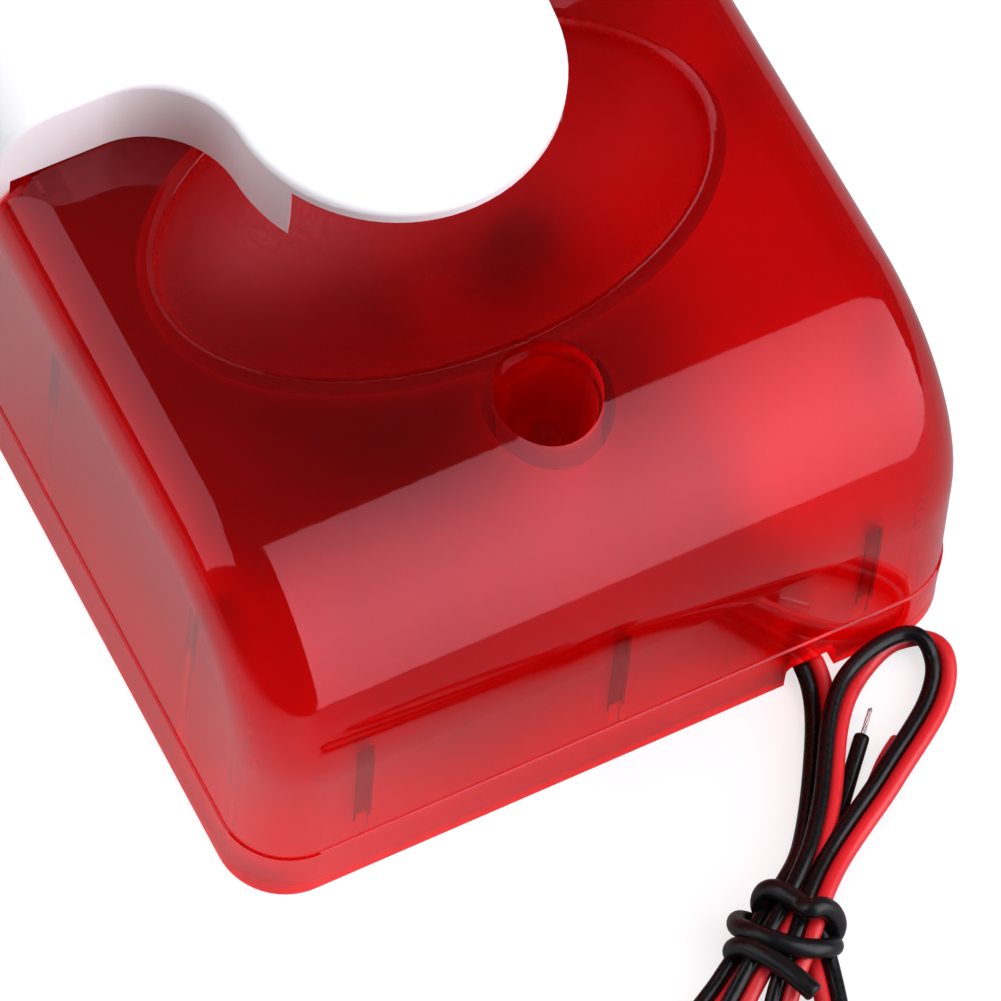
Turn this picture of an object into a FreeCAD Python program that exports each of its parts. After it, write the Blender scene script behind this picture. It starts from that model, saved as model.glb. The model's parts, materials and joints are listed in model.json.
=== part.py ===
import FreeCAD, Part
import math
import os
from FreeCAD import Vector as V

# Wired strobe siren, millimetres. +Z is away from the wall or table, -Y is the end with the lead.
# Origin: middle of the case's flat back face. The lead and its hank lie on the plane z = 0.

# ---- case ----
WIDTH = 73.0
LENGTH = 122.0
HEIGHT = 48.0                # top of the white cover
LENS_HEIGHT = 39.0           # top of the red lens
BAND_HEIGHT = 7.0            # lower band that stands proud of the walls
BAND_STEP = 0.2              # how far it stands out
BAND_BEVEL = 0.18            # of its top edge, back to the wall
SIDE_LEAN = 1.6              # degrees, side walls
END_LEAN = 2.0               # degrees, end walls
LENS_HUMP_R = 20.0
COVER_HUMP_R = 22.0
EDGE_R = 6.5                 # side edges and upright corners
WALL = 2.0
CASE_GAP = 0.3               # base plate inside the case, and lens to cover

# ---- seam of the white cover, in plan ----
SHOULDER_Y = -3.6            # straight part of the seam
LOBE_Y = -11.3               # centre of the round tongue
LOBE_R = 15.5
SWEEP_R = 9.0                # hollow arc between the shoulder and the tongue
SKIRT_WALL = 1.6
SEAM_EDGE_R = 0.9            # top edge of the skirt and the tongue
TONGUE_THICK = 1.8
MOUTH_CORNER_Y = -18.7       # the skirt stops here on each flank of the tongue
MOUTH_BEVEL_X = 2.2          # and its end is cut back to an edge, this far in and this far along
MOUTH_BEVEL_Y = 3.3

# ---- bowl, screw wells, ribs, notch ----
BOWL_Y = -20.4
BOWL_A = 26.9
BOWL_B = 16.2
BOWL_C = 18.0
BOWL_RAISE = 3.0             # the ellipsoid's centre above the lens top
BOWL_EDGE_R = 1.4            # rounding of its rim
WELL_FRONT_Y = -42.4
WELL_REAR_Y = 53.0
WELL_R = 5.0
WELL_WALL = 1.0
WELL_FLOOR_Z = 8.4
WELL_LEDGE = 0.35           # the well narrows this much a little way down
WELL_LEDGE_DROP = 2.2
RIB_WIDTH = 1.3
RIB_DEEP = 1.6
RIB_FOOT_Z = 5.6
RIB_SIDE_FOOT_Z = 5.4
RIB_FRONT_TOP = 21.0
RIB_SIDE_TOP = 30.0
FRONT_RIBS_X = (-25.4, 0.1, 25.6)
SIDE_RIBS_Y = (-45.0, -17.0)
NOTCH_X = 20.5
NOTCH_WIDTH = 5.2
NOTCH_HEIGHT = 3.2

# ---- base and board ----
BASE_THICK = 2.5
BASE_STIFFENER = 1.2         # width of the two ribs along its sides
BASE_STIFFENER_TOP = 5.0
BASE_STIFFENER_END = 44.0
POST_R = 2.8
WALL_HOLE_X = 28.0
WALL_HOLE_Y = 46.0
WALL_HOLE_R = 2.2
BOARD_X = 23.0
BOARD_Y0 = -51.0
BOARD_Y1 = -7.0
BOARD_Z = 8.0
BOARD_THICK = 1.6
BOARD_TOP = BOARD_Z + BOARD_THICK
SCREW_R = 1.25               # shank of a small self-tapping screw
SCREW_RUN = 0.1              # radial clearance of a shank
RECESS_WIDTH = 0.7           # cross recess in a screw head
RECESS_DEEP = 0.9
LEG_HALF = 0.25              # half the width of a component's leg
TRANSFORMER_X = -11.0
TRANSFORMER_Y = -21.0
BOARD_POSTS = [(-20.0, -48.0), (20.0, -42.0), (-20.0, -10.0), (20.0, -10.0)]
LAMP_PLACES = [(-15.5, -47.0), (-10.0, -47.0), (10.0, -47.0), (15.5, -47.0), (-15.5, -38.5), (15.5, -38.5)]
FILM_PLACES = [(2.0, -13.0), (2.0, -18.5), (2.0, -24.0)]
RESISTOR_PLACES = [(-18.5, -34.0), (-15.0, -31.0), (19.5, -18.0), (-19.8, -23.0)]
CLIP_SCREW_Y = -54.8         # cable clip on the base plate
CLIP_SCREW_REACH = 5.2       # of each screw from the lead's middle

# ---- siren driver ----
DRIVER_Y = 24.0
DRIVER_R = 22.0
EAR_CIRCLE_R = 24.0          # screws of the driver
EAR_ANGLES = (30, 150, 270)
DRIVER_Z0 = 6.0
PLATE_Z = 17.0
DUCT_Z0 = 20.4
SPOUT_X = 15.0
SPOUT_FRONT = -2.4
SPOUT_Z0 = 38.6
SPOUT_Z1 = 45.8
LENS_SCREWS = [(-26.0, 1.8), (26.0, 1.8)]
TAB_X0 = 20.5                # screw tabs of the lens under the white cover
TAB_X1 = 31.5
TAB_REACH = 9.5

# ---- lead ----
CORE_R = 0.75
LEAD_R = 1.5                 # half the width of the flat twin lead
LEAD_ROUTE = [
    V(20.5, -60.4, 1.6), V(20.5, -62.3, 1.6), V(20.0, -64.5, 1.55), V(19.0, -67.0, 1.5), V(17.5, -69.6, 1.5),
]
TIE_R = 1.0
TIP_LENGTH = 3.2             # bare wire at each core's end
BLACK_END = [
    V(12.6, -78.7, 0.8), V(15.0, -76.2, 0.8), V(17.5, -73.5, 0.8), V(19.7, -71.1, 0.8), V(21.7, -69.0, 0.8),
]
RED_END = [V(14.3, -79.7, 0.8), V(17.6, -76.3, 0.8), V(20.9, -73.3, 0.8), V(24.5, -70.5, 0.8)]
TIE_CENTRE = V(5.8, -83.8, 3.5)
HANK_ANGLE = 49.0            # degrees from +X, direction of the hank at the tie, towards the case
FOLD_TOP = 4.4               # top of the upper fold and of the strands inside the tie
FOLD_LOW_TOP = 3.2           # top of the two lower folds
WAIST_FLOOR = 2.2            # the tie lifts the strands inside it this far
TIE_HALF_WIDTH = 3.8         # centre of the tie's wire from the hank's middle
TIE_HALF_HEIGHT = 2.45
TIE_PITCH = 0.28             # it moves on this far along the hank every 30 degrees


def box(x0, x1, y0, y1, z0, z1):
    """Box between two corners."""
    return Part.makeBox(x1 - x0, y1 - y0, z1 - z0, V(x0, y0, z0))


def rod(x, y, z0, z1, r):
    """Upright cylinder."""
    return Part.makeCylinder(r, z1 - z0, V(x, y, z0))


def ring(x, y, z0, z1, r_out, r_in):
    """Upright tube."""
    return rod(x, y, z0, z1, r_out).cut(rod(x, y, z0 - 1, z1 + 1, r_in))


def slab(outline, z0, z1):
    """Upright prism on a plan outline given by its (x, y) corners."""
    corners = [V(x, y, z0) for x, y in outline]
    return Part.Face(Part.makePolygon(corners + corners[:1])).extrude(V(0, 0, z1 - z0))


def fuse(shapes):
    """Join touching shapes into one clean solid."""
    whole = shapes[0].fuse(shapes[1:]) if len(shapes) > 1 else shapes[0]
    return whole.removeSplitter()


def save(node, shape):
    """Write one node and print what it holds."""
    if shape.ShapeType == "Compound" and len(shape.Solids) == 1:
        shape = shape.Solids[0]
    print(node, "solids", len(shape.Solids), "valid", shape.isValid(), "volume", round(shape.Volume, 1))
    shape.exportStep("parts/" + node + ".step")


def tube(points, r):
    """Round tube along straight runs joined by tangent arcs, with its volume checked."""
    edges = []
    start = points[0]
    radii = []
    for before, corner, after in zip(points, points[1:], points[2:]):
        back = (before - corner).normalize()
        ahead = (after - corner).normalize()
        turn = math.pi - back.getAngle(ahead)
        run = 0.45 * min((corner - before).Length, (after - corner).Length)
        radii.append(round(run / math.tan(turn / 2), 1))
        first = corner + back * run
        last = corner + ahead * run
        bisector = (back + ahead).normalize()
        centre = corner + bisector * (run / math.sin(turn / 2))
        middle = centre - bisector * (run / math.tan(turn / 2))
        edges.append(Part.LineSegment(start, first).toShape())
        edges.append(Part.Arc(first, middle, last).toShape())
        start = last
    edges.append(Part.LineSegment(start, points[-1]).toShape())
    path = Part.Wire(edges)
    section = Part.Wire([Part.Circle(points[0], points[1] - points[0], r).toShape()])
    solid = path.makePipeShell([section], True, True)
    expected = math.pi * r * r * path.Length
    ratio = round(solid.Volume / expected, 3)
    print("  tube radii", radii, "length", round(path.Length, 1), "volume ratio", ratio)
    return solid


def ear_places():
    """Places of the driver's screws."""
    turns = [math.radians(angle) for angle in EAR_ANGLES]
    return [(EAR_CIRCLE_R * math.cos(a), DRIVER_Y + EAR_CIRCLE_R * math.sin(a)) for a in turns]


def clip_places():
    """Places of the cable clip's screws."""
    return [(NOTCH_X - CLIP_SCREW_REACH, CLIP_SCREW_Y), (NOTCH_X + CLIP_SCREW_REACH, CLIP_SCREW_Y)]


def pan_screw(x, y, seat_z, length, head_r=2.6, head_h=1.8, shank_r=SCREW_R, up=False):
    """Cross-recessed pan-head screw; its head rests on seat_z, and its shank points down, or up."""
    head = rod(x, y, seat_z, seat_z + head_h, head_r)
    top = seat_z + head_h
    crown = [e for e in head.Edges if e.CenterOfMass.z > top - 0.1 and len(e.Vertexes) == 1]
    head = head.makeFillet(head_h * 0.45, crown)
    shank = rod(x, y, seat_z - length, seat_z, shank_r)
    slot = head_r * 0.55
    half = RECESS_WIDTH / 2
    cross = box(x - slot, x + slot, y - half, y + half, top - RECESS_DEEP, top + 1)
    cross = cross.fuse(box(x - half, x + half, y - slot, y + slot, top - RECESS_DEEP, top + 1))
    screw = head.fuse(shank).cut(cross).removeSplitter()
    if up:
        screw.rotate(V(x, y, seat_z), V(1, 0, 0), 180)
    return screw


# ---------------------------------------------------------------- case shapes

def lean(length, degrees):
    """How far a leaning wall moves in over a height."""
    return length * math.tan(math.radians(degrees))


def hump_points(radius, top, inset):
    """Front line and arc of an end hump, on the -Y end: foot, tangent point, arc middle, arc end."""
    foot = -LENGTH / 2 + BAND_STEP + inset
    centre_z = top - radius
    centre_y = foot + lean(centre_z - BAND_HEIGHT, END_LEAN) + radius / math.cos(math.radians(END_LEAN))
    angles = (180.0 - END_LEAN, 135.0, 90.0)
    arc = [V(0, centre_y + radius * math.cos(math.radians(a)), centre_z + radius * math.sin(math.radians(a)))
           for a in angles]
    return foot, arc


def block(radius, top, flip, far_y, inset):
    """Half of the case as a solid block: leaning end with a hump, leaning sides, one rounded edge chain.

    The end is at -Y, or at +Y when flip is true. inset shrinks it all round for the hollow inside.
    """
    foot, arc = hump_points(radius - inset, top - inset, inset)
    below = V(0, foot - lean(BAND_HEIGHT + 1, END_LEAN), -1)
    far_top = V(0, far_y, top - inset)
    far_low = V(0, far_y, -1)
    edges = [
        Part.LineSegment(below, arc[0]).toShape(),
        Part.Arc(arc[0], arc[1], arc[2]).toShape(),
        Part.LineSegment(arc[2], far_top).toShape(),
        Part.LineSegment(far_top, far_low).toShape(),
        Part.LineSegment(far_low, below).toShape(),
    ]
    half = WIDTH / 2 - BAND_STEP - inset
    solid = Part.Face(Part.Wire(edges)).extrude(V(2 * half + 4, 0, 0))
    solid.translate(V(-half - 2, 0, 0))
    for side in (1, -1):
        wedge = Part.makeBox(20, 2 * LENGTH, 2 * HEIGHT, V(0, -LENGTH, -HEIGHT))
        wedge.rotate(V(0, 0, 0), V(0, 1, 0), -SIDE_LEAN)
        wedge.translate(V(half, 0, BAND_HEIGHT))
        if side < 0:
            wedge = wedge.mirror(V(0, 0, 0), V(1, 0, 0))
        solid = solid.cut(wedge)
    chain = []
    for edge in solid.Edges:
        middle = edge.valueAt((edge.FirstParameter + edge.LastParameter) / 2)
        on_side = abs(middle.x) > half - lean(HEIGHT, SIDE_LEAN) - 1
        if on_side and middle.y < far_y - 0.1 and middle.z > -0.5:
            chain.append(edge)
    solid = solid.makeFillet(max(EDGE_R - inset, 1.0), chain)
    solid = solid.common(box(-WIDTH, WIDTH, -LENGTH, LENGTH, 0, HEIGHT + 1))
    if flip:
        solid = solid.mirror(V(0, 0, 0), V(0, 1, 0))
    return solid


def band(y0, y1, inset):
    """Lower band of the case between two places along Y, as a solid block with rounded upright corners."""
    x = WIDTH / 2 - inset
    y = LENGTH / 2 - inset
    solid = box(-x, x, -y, y, 0, BAND_HEIGHT)
    upright = [e for e in solid.Edges if abs(e.Vertexes[0].Z - e.Vertexes[1].Z) > 1]
    solid = solid.makeFillet(EDGE_R + BAND_STEP - inset, upright)
    rim = [e for e in solid.Edges if min(v.Z for v in e.Vertexes) > BAND_HEIGHT - 0.01]
    solid = solid.makeChamfer(BAND_BEVEL, rim)
    return solid.common(box(-WIDTH, WIDTH, y0, y1, -1, BAND_HEIGHT + 1))


def seam_outline(inset):
    """Plan outline of the white cover: shoulder, hollow sweep, round tongue, and the far half."""
    shoulder = SHOULDER_Y + inset
    lobe_r = LOBE_R - inset
    sweep_r = SWEEP_R + inset
    sweep_y = shoulder - sweep_r
    rise = sweep_y - LOBE_Y
    sweep_x = math.sqrt((lobe_r + sweep_r) ** 2 - rise ** 2)
    touch = V(sweep_x * lobe_r / (lobe_r + sweep_r), LOBE_Y + rise * lobe_r / (lobe_r + sweep_r), 0)
    toward = math.atan2(touch.y - sweep_y, touch.x - sweep_x)
    half_way = (toward + math.pi / 2) / 2
    sweep_mid = V(sweep_x + sweep_r * math.cos(half_way), sweep_y + sweep_r * math.sin(half_way), 0)
    sweep_end = V(sweep_x, shoulder, 0)
    side = WIDTH
    far = LENGTH

    def left(p):
        return V(-p.x, p.y, p.z)

    edges = [
        Part.LineSegment(V(-side, far, 0), V(-side, shoulder, 0)).toShape(),
        Part.LineSegment(V(-side, shoulder, 0), left(sweep_end)).toShape(),
        Part.Arc(left(sweep_end), left(sweep_mid), left(touch)).toShape(),
        Part.Arc(left(touch), V(0, LOBE_Y - lobe_r, 0), touch).toShape(),
        Part.Arc(touch, sweep_mid, sweep_end).toShape(),
        Part.LineSegment(sweep_end, V(side, shoulder, 0)).toShape(),
        Part.LineSegment(V(side, shoulder, 0), V(side, far, 0)).toShape(),
        Part.LineSegment(V(side, far, 0), V(-side, far, 0)).toShape(),
    ]
    return Part.Face(Part.Wire(edges))


def seam_prism(inset, z0, z1):
    """The seam outline as a tall block between two heights."""
    prism = seam_outline(inset).extrude(V(0, 0, z1 - z0))
    prism.translate(V(0, 0, z0))
    return prism


def bowl(grow):
    """Ellipsoid of the bowl recess, grown for its shell."""
    ball = Part.makeSphere(1.0)
    matrix = FreeCAD.Matrix()
    matrix.scale(BOWL_A + grow, BOWL_B + grow, BOWL_C + grow)
    ball = ball.transformGeometry(matrix)
    ball.translate(V(0, BOWL_Y, LENS_HEIGHT + BOWL_RAISE))
    return ball


def screw_well(solid, envelope, y, mouth_z):
    """Add a screw well with a ledge and a drilled floor to a shell; envelope is the shell's outer block."""
    pipe = rod(0, y, WELL_FLOOR_Z, HEIGHT, WELL_R + WELL_WALL).common(envelope)
    solid = solid.fuse(pipe)
    solid = solid.cut(rod(0, y, WELL_FLOOR_Z + WALL, HEIGHT + 1, WELL_R - WELL_LEDGE))
    solid = solid.cut(rod(0, y, mouth_z - WELL_LEDGE_DROP, HEIGHT + 1, WELL_R))
    return solid.cut(rod(0, y, 0, HEIGHT, SCREW_R + 0.3))


def red_lens():
    """Front half of the case with its bowl, screw well, ribs, cable notch and two screw tabs."""
    end_y = SHOULDER_Y - CASE_GAP / 2
    outer = block(LENS_HUMP_R, LENS_HEIGHT, False, end_y, 0.0)
    outer = outer.fuse(band(-LENGTH, end_y, 0.0))
    inner = block(LENS_HUMP_R, LENS_HEIGHT, False, end_y + 5, WALL)
    shell = outer.cut(inner)
    dish = bowl(WALL).common(outer).cut(box(-WIDTH, WIDTH, -LENGTH, LENGTH, -1, 12))
    shell = shell.fuse(dish).cut(bowl(0.0))
    shell = screw_well(shell, outer, WELL_FRONT_Y, LENS_HEIGHT)
    rib_y = -LENGTH / 2 + BAND_STEP + WALL + RIB_DEEP
    for x in FRONT_RIBS_X:
        rib = box(x - RIB_WIDTH / 2, x + RIB_WIDTH / 2, -LENGTH / 2 + 1, rib_y, RIB_FOOT_Z, RIB_FRONT_TOP)
        shell = shell.fuse(rib.common(outer))
    for y in SIDE_RIBS_Y:
        for side in (1, -1):
            x = side * (WIDTH / 2 - WALL - 0.6 - RIB_DEEP / 2)
            y0 = y - RIB_WIDTH / 2
            rib = box(x - RIB_DEEP, x + RIB_DEEP, y0, y0 + RIB_WIDTH, RIB_SIDE_FOOT_Z, RIB_SIDE_TOP)
            shell = shell.fuse(rib.common(outer))
    tab_top = LENS_HEIGHT - CASE_GAP
    for side in (1, -1):
        tab = box(TAB_X0, TAB_X1, end_y - 2, end_y + TAB_REACH, tab_top - WALL, tab_top)
        if side < 0:
            tab = tab.mirror(V(0, 0, 0), V(1, 0, 0))
        shell = shell.fuse(tab)
    for x, y in LENS_SCREWS:
        shell = shell.cut(rod(x, y, tab_top - 4, HEIGHT, SCREW_R + 0.2))
    shell = shell.cut(cable_notch()).removeSplitter()
    return soften(shell, BOWL_EDGE_R, is_bowl_rim)


def cable_notch():
    """Block that cuts the notch in the lower edge, its two upper corners round."""
    x0 = NOTCH_X - NOTCH_WIDTH / 2
    notch = box(x0, x0 + NOTCH_WIDTH, -LENGTH, -LENGTH / 2 + 8, -1, NOTCH_HEIGHT)
    corners = []
    for edge in notch.Edges:
        low = min(v.Z for v in edge.Vertexes)
        run = abs(edge.Vertexes[0].Y - edge.Vertexes[1].Y)
        if low > NOTCH_HEIGHT - 0.1 and run > 1:
            corners.append(edge)
    return notch.makeFillet(0.9, corners)


def skirt_mouth():
    """Block that opens the skirt under the tongue, its near corners cut back."""
    x = math.sqrt(LOBE_R ** 2 - (MOUTH_CORNER_Y - LOBE_Y) ** 2)
    inner_x = x - MOUTH_BEVEL_X
    inner_y = MOUTH_CORNER_Y + MOUTH_BEVEL_Y
    outline = [(-x, -LENGTH / 2), (-x, MOUTH_CORNER_Y), (-inner_x, inner_y),
               (inner_x, inner_y), (x, MOUTH_CORNER_Y), (x, -LENGTH / 2)]
    return slab(outline, 0, HEIGHT - TONGUE_THICK)


def white_cover():
    """Far half of the case with the skirt, the round tongue over the bowl, a screw well and two bosses."""
    full = block(COVER_HUMP_R, HEIGHT, True, 45.0, 0.0)
    hollow = block(COVER_HUMP_R, HEIGHT, True, 45.0, WALL)
    foot = SHOULDER_Y + CASE_GAP / 2
    skirt_z = LENS_HEIGHT + 0.1
    plan = seam_prism(0.0, skirt_z, HEIGHT + 1).fuse(box(-WIDTH, WIDTH, foot, LENGTH, -1, skirt_z))
    outer = full.common(plan.removeSplitter())
    outer = outer.fuse(band(foot, LENGTH, 0.0)).removeSplitter()
    room = seam_prism(SKIRT_WALL, -1, HEIGHT - TONGUE_THICK)
    room = room.fuse(box(-WIDTH, WIDTH, foot - 1, LENGTH, -1, LENS_HEIGHT + 0.1))
    shell = outer.cut(hollow.common(room))
    shell = shell.cut(skirt_mouth())
    for x, y in LENS_SCREWS:
        boss = ring(x, y, LENS_HEIGHT - CASE_GAP, HEIGHT - 1, 3.0, SCREW_R + 0.02).common(outer)
        shell = shell.fuse(boss)
    shell = screw_well(shell, full, WELL_REAR_Y, LENS_HEIGHT).removeSplitter()
    return soften(shell, SEAM_EDGE_R, is_seam_top)


def is_bowl_rim(edge):
    """True on the bowl's edge in the lens top."""
    box_ = edge.BoundBox
    return box_.ZLength < 0.01 and abs(box_.ZMax - LENS_HEIGHT) < 0.01 and box_.XLength > WIDTH / 4 \
        and abs(edge.CenterOfMass.y - BOWL_Y) < BOWL_B and box_.XMax < BOWL_A + 0.5


def is_seam_top(edge):
    """True on the top edge of the skirt and the tongue."""
    box_ = edge.BoundBox
    return box_.ZLength < 0.01 and abs(box_.ZMax - HEIGHT) < 0.01 and box_.YMax < SHOULDER_Y + 0.1


def soften(shape, radius, keep):
    """Round the edges that keep picks, or leave them sharp and say so."""
    edges = [e for e in shape.Edges if keep(e)]
    try:
        rounded = shape.makeFillet(radius, edges)
        if rounded.isValid():
            return rounded
    except Part.OCCError:
        pass
    print("  left sharp", len(edges))
    return shape


# ---------------------------------------------------------------- base and board

def base_plate():
    """Flat back with posts for the board, bosses for the case screws, wall holes and a cable slot."""
    x = WIDTH / 2 - WALL - BAND_STEP - CASE_GAP - 0.3
    y = LENGTH / 2 - WALL - BAND_STEP - CASE_GAP - 0.3
    plate = box(-x, x, -y, y, 0, BASE_THICK)
    upright = [e for e in plate.Edges if abs(e.Vertexes[0].Z - e.Vertexes[1].Z) > 1]
    pieces = [plate.makeFillet(3.6, upright)]
    for px, py in BOARD_POSTS:
        pieces.append(rod(px, py, 1, BOARD_Z, POST_R))
    for py in (WELL_FRONT_Y, WELL_REAR_Y):
        pieces.append(rod(0, py, 1, WELL_FLOOR_Z - 0.2, 3.6))
    for px, py in ear_places():
        pieces.append(rod(px, py, 1, DRIVER_Z0, POST_R))
    for rib_x in (-x + 1, x - 1 - BASE_STIFFENER):
        pieces.append(box(rib_x, rib_x + BASE_STIFFENER, -BASE_STIFFENER_END, BASE_STIFFENER_END,
                          1, BASE_STIFFENER_TOP))
    solid = fuse(pieces)
    for px, py in BOARD_POSTS:
        solid = solid.cut(rod(px, py, BOARD_Z - 6, BOARD_Z + 1, SCREW_R))
    for py in (WELL_FRONT_Y, WELL_REAR_Y):
        solid = solid.cut(rod(0, py, 0.8, WELL_FLOOR_Z, SCREW_R + SCREW_RUN))
    for px, py in ear_places():
        solid = solid.cut(rod(px, py, 1.2, DRIVER_Z0 + 1, SCREW_R))
    for px in (-WALL_HOLE_X, WALL_HOLE_X):
        for py in (-WALL_HOLE_Y, WALL_HOLE_Y):
            solid = solid.cut(rod(px, py, -1, BASE_THICK + 1, WALL_HOLE_R))
    for px, py in clip_places():
        solid = solid.cut(rod(px, py, 0.6, BASE_THICK + 1, 0.9))
    slot = box(NOTCH_X - 2.4, NOTCH_X + 2.4, -LENGTH / 2, -54.4, -1, BASE_THICK + 1)
    return solid.cut(slot)


def circuit_board():
    """Board with screw holes and a clearance hole for the front screw well."""
    board = box(-BOARD_X, BOARD_X, BOARD_Y0, BOARD_Y1, BOARD_Z, BOARD_TOP)
    upright = [e for e in board.Edges if abs(e.Vertexes[0].Z - e.Vertexes[1].Z) > 1]
    board = board.makeFillet(1.5, upright)
    for px, py in BOARD_POSTS:
        board = board.cut(rod(px, py, BOARD_Z - 1, BOARD_TOP + 1, SCREW_R + 0.2))
    return board.cut(rod(0, WELL_FRONT_Y, BOARD_Z - 1, BOARD_TOP + 1, WELL_R + WELL_WALL + 0.8))


def leg(x, y, top, half_x=LEG_HALF):
    """Straight leg from the board up to a component."""
    return box(x - half_x, x + half_x, y - LEG_HALF, y + LEG_HALF, BOARD_TOP, top)


def strobe_lamp(x, y):
    """Domed 5 mm lamp on two legs."""
    top = BOARD_TOP + 6
    body = ring(x, y, top, top + 1.0, 2.9, 0.01).fuse(rod(x, y, top, top + 6.0, 2.5))
    body = body.fuse(Part.makeSphere(2.5, V(x, y, top + 6.0)))
    return fuse([body] + [leg(x + s, y, top + 0.5) for s in (-1.27, 1.27)])


def strobe_lamps():
    return Part.makeCompound([strobe_lamp(x, y) for x, y in LAMP_PLACES])


def transformer_core():
    """Two E halves round a bobbin, as one ferrite frame with a middle leg."""
    cx, cy, z0 = TRANSFORMER_X, TRANSFORMER_Y, BOARD_TOP + 0.4
    frame = box(cx - 7.5, cx + 7.5, cy - 3.0, cy + 3.0, z0, z0 + 10.5)
    for side in (-1, 1):
        window = box(cx + side * 3.9 - 2.3, cx + side * 3.9 + 2.3, cy - 4, cy + 4, z0 + 2, z0 + 8.5)
        frame = frame.cut(window)
    return frame


def transformer_winding():
    """Bobbin and winding round the middle leg of the core."""
    cx, cy, z0 = TRANSFORMER_X, TRANSFORMER_Y, BOARD_TOP + 0.4
    coil = box(cx - 5.9, cx + 5.9, cy - 5.4, cy + 5.4, z0 + 2.4, z0 + 8.1)
    coil = coil.makeFillet(1.2, [e for e in coil.Edges if abs(e.Vertexes[0].Z - e.Vertexes[1].Z) > 1])
    coil = coil.cut(box(cx - 1.65, cx + 1.65, cy - 3.05, cy + 3.05, z0, z0 + 12))
    for end in (-1, 1):
        y = cy + end * 4.6
        coil = coil.fuse(box(cx - 6.0, cx + 6.0, y - 0.8, y + 0.8, BOARD_TOP, z0 + 2.6))
    return coil


def capacitor_can():
    """Electrolytic capacitor, upright, with a rolled groove."""
    x, y, r, h = 11.0, -20.0, 4.0, 11.0
    can = rod(x, y, BOARD_TOP, BOARD_TOP + h, r)
    can = can.makeFillet(0.6, [e for e in can.Edges if len(e.Vertexes) == 1])
    return can.cut(Part.makeTorus(r + 0.3, 0.7, V(x, y, BOARD_TOP + 1.6)))


def film_capacitors():
    """Three dipped box capacitors."""
    bodies = []
    for x, y in FILM_PLACES:
        body = box(x - 3.4, x + 3.4, y - 1.5, y + 1.5, BOARD_TOP + 0.4, BOARD_TOP + 6.2)
        body = body.makeFillet(0.7, body.Edges)
        bodies.append(fuse([body] + [leg(x + s, y, BOARD_TOP + 1.5) for s in (-2, 2)]))
    return Part.makeCompound(bodies)


def driver_transistors():
    """Two flat power transistors standing on three legs each."""
    bodies = []
    for x in (-8.0, 3.0):
        y = -31.5
        body = box(x - 4, x + 4, y - 1.4, y + 1.4, BOARD_TOP + 2, BOARD_TOP + 11)
        body = body.cut(Part.makeCylinder(1.6, 10, V(x, y - 5, BOARD_TOP + 8), V(0, 1, 0)))
        bodies.append(fuse([body] + [leg(x + s, y, BOARD_TOP + 2.2, 0.35) for s in (-2.3, 0, 2.3)]))
    return Part.makeCompound(bodies)


def control_chip():
    """Eight-legged chip with bent legs."""
    x, y, z = 14.0, -31.0, BOARD_TOP
    body = box(x - 4.8, x + 4.8, y - 3.2, y + 3.2, z + 0.5, z + 3.8)
    body = body.cut(Part.makeCylinder(0.8, 1, V(x - 4.8, y, z + 3.4)))
    legs = []
    for i in range(4):
        lx = x - 3.81 + i * 2.54
        for side in (-1, 1):
            y0, y1 = sorted((y + side * 3.0, y + side * 4.1))
            foot0, foot1 = sorted((y + side * 3.7, y + side * 4.1))
            legs.append(box(lx - 0.5, lx + 0.5, y0, y1, z + 1.6, z + 2.0))
            legs.append(box(lx - 0.5, lx + 0.5, foot0, foot1, z, z + 2.0))
    return fuse([body] + legs)


def axial_part(x, y, r, length):
    """Leaded part lying along Y, its legs bent down to the board."""
    z = BOARD_TOP + r + 0.3
    body = Part.makeCylinder(r, length, V(x, y - length / 2, z), V(0, 1, 0))
    body = body.makeFillet(r * 0.4, [e for e in body.Edges if len(e.Vertexes) == 1])
    reach = length / 2 + 1.25
    wire = box(x - LEG_HALF, x + LEG_HALF, y - reach, y + reach, z - LEG_HALF, z + LEG_HALF)
    feet = [leg(x, y + s * reach, z + LEG_HALF) for s in (-1, 1)]
    return fuse([body, wire] + feet)


def resistors():
    return Part.makeCompound([axial_part(x, y, 1.1, 6.0) for x, y in RESISTOR_PLACES])


def rectifier_diode():
    return axial_part(20.9, -27.5, 1.3, 4.4)


def lead_connector():
    """Two-way plug housing at the board's front edge."""
    body = box(17.5, 23.0, -50.6, -46.2, BOARD_TOP, BOARD_TOP + 5.5)
    z = BOARD_TOP + 2.6
    return body.cut(box(NOTCH_X - 2 * CORE_R, NOTCH_X + 2 * CORE_R, -51, -49.1, z - CORE_R, z + CORE_R))


def inner_lead(side):
    """One core from the cable notch up to the connector."""
    x = NOTCH_X + side * CORE_R
    return tube([V(x, -60.4, 1.6), V(x, -57.9, 1.6), V(x, -55.4, 3.4), V(x, -53.8, 6.2), V(x, -53.4, 9.4),
                 V(x, -52.0, 12.2), V(x, -49.2, 12.2)], CORE_R - 0.01)


def cable_clip():
    """Saddle that grips both cores on the base plate, with two ears."""
    body = box(NOTCH_X - 3.2, NOTCH_X + 3.2, -56.4, -53.2, BASE_THICK, 7.6)
    ears = box(NOTCH_X - 7.0, NOTCH_X + 7.0, -56.4, -53.2, BASE_THICK, BASE_THICK + 1.2)
    clip = body.fuse(ears)
    tunnel = box(NOTCH_X - 1.9, NOTCH_X + 1.9, -58.0, -52.0, BASE_THICK - 1, 6.5)
    clip = clip.cut(tunnel)
    clip = clip.cut(box(NOTCH_X - 1.9, NOTCH_X + 1.9, -54.8, -52.0, BASE_THICK - 1, 9))
    for x, y in clip_places():
        clip = clip.cut(rod(x, y, 0, 9, 1.0))
    return clip.removeSplitter()


def clip_screws():
    seat = BASE_THICK + 1.2
    return Part.makeCompound([pan_screw(x, y, seat, 2.6, 1.5, 1.0, 0.9) for x, y in clip_places()])


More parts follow.
